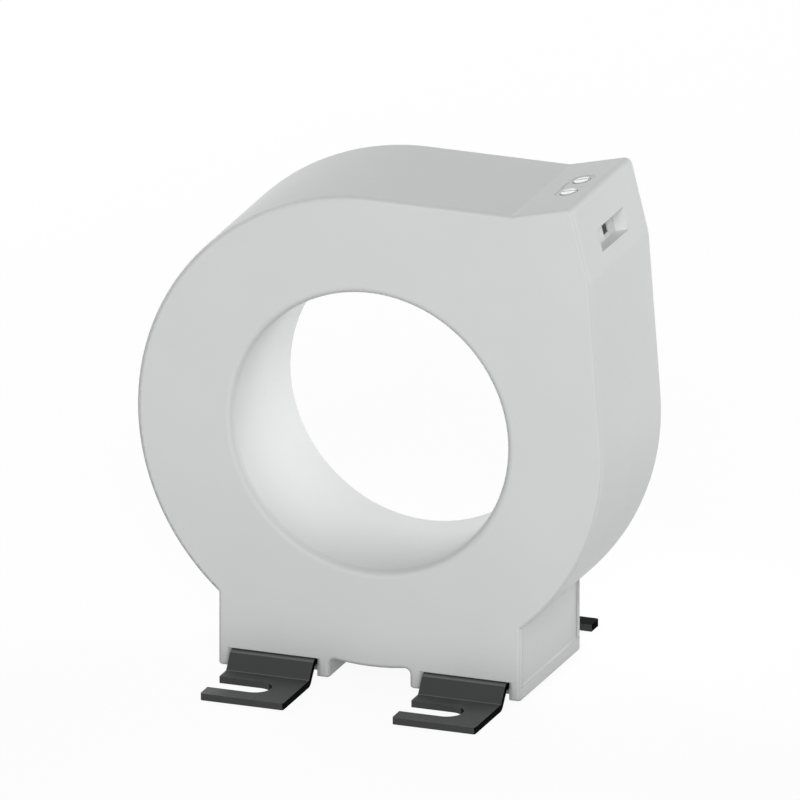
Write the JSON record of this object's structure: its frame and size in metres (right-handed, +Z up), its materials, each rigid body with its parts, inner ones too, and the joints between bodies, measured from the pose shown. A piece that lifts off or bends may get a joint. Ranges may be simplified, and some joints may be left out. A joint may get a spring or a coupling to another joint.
{
  "type": "current transformer",
  "caption": "Closed-ring current transformer with a round bore, a raised corner with two screw terminals, and four slotted sheet-metal feet.",
  "frame": {"origin": "on the mounting plane under the feet, below the bore axis, half way through the depth", "axes": "+Y along the bore towards the back cover, +X towards the terminal side, +Z up"},
  "size_m": [0.102, 0.072, 0.1099],
  "materials": {
    "housing_grey": "light grey moulded plastic, satin",
    "terminal_grey": "light grey moulded plastic",
    "black_steel": "black coated steel sheet",
    "screw_steel": "bright nickel-plated steel",
    "clamp_steel": "zinc-plated steel",
    "contact_metal": "tinned brass",
    "lead_sleeve": "white insulated lead",
    "copper_winding": "enamelled copper wire",
    "core_steel": "tape-wound core strip",
    "tray_plastic": "black moulded plastic",
    "tape": "yellow polyester tape",
    "foam": "closed-cell foam"
  },
  "bodies": {
    "housing": {"housing_body": "housing_grey", "rear_cover": "housing_grey", "front_pad": "foam", "rear_pad": "foam", "core_tray": "tray_plastic", "core_lid": "tray_plastic", "magnetic_core": "core_steel", "secondary_winding": "copper_winding", "winding_tape": "tape", "terminal_body": "terminal_grey", "contact_bar_front": "contact_metal", "contact_bar_rear": "contact_metal", "lead_wire_front": "lead_sleeve", "lead_wire_rear": "lead_sleeve", "foot_front_left": "black_steel", "foot_front_right": "black_steel", "foot_rear_left": "black_steel", "foot_rear_right": "black_steel"},
    "screw_front": {"terminal_screw_front": "screw_steel"},
    "clamp_front": {"wire_clamp_front": "clamp_steel"},
    "screw_rear": {"terminal_screw_rear": "screw_steel"},
    "clamp_rear": {"wire_clamp_rear": "clamp_steel"}
  },
  "joints": [
    {"name": "screw_front_turn", "type": "hinge", "parent": "housing", "child": "screw_front", "pos_m": [0.03852, -0.00381, 0.10872], "axis": [0.2419, 0, -0.9703], "range_deg": [0, 1800]},
    {"name": "clamp_front_rise", "type": "slide", "parent": "housing", "child": "clamp_front", "axis": [-0.2419, 0, 0.9703], "range_m": [0, 0.00225]},
    {"name": "screw_rear_turn", "type": "hinge", "parent": "housing", "child": "screw_rear", "pos_m": [0.03852, 0.00381, 0.10872], "axis": [0.2419, 0, -0.9703], "range_deg": [0, 1800]},
    {"name": "clamp_rear_rise", "type": "slide", "parent": "housing", "child": "clamp_rear", "axis": [-0.2419, 0, 0.9703], "range_m": [0, 0.00225]}
  ],
  "couplings": [
    {"joint": "screw_front_turn", "follows": "clamp_front_rise", "rad_per_m": 13963},
    {"joint": "screw_rear_turn", "follows": "clamp_rear_rise", "rad_per_m": 13963}
  ]
}
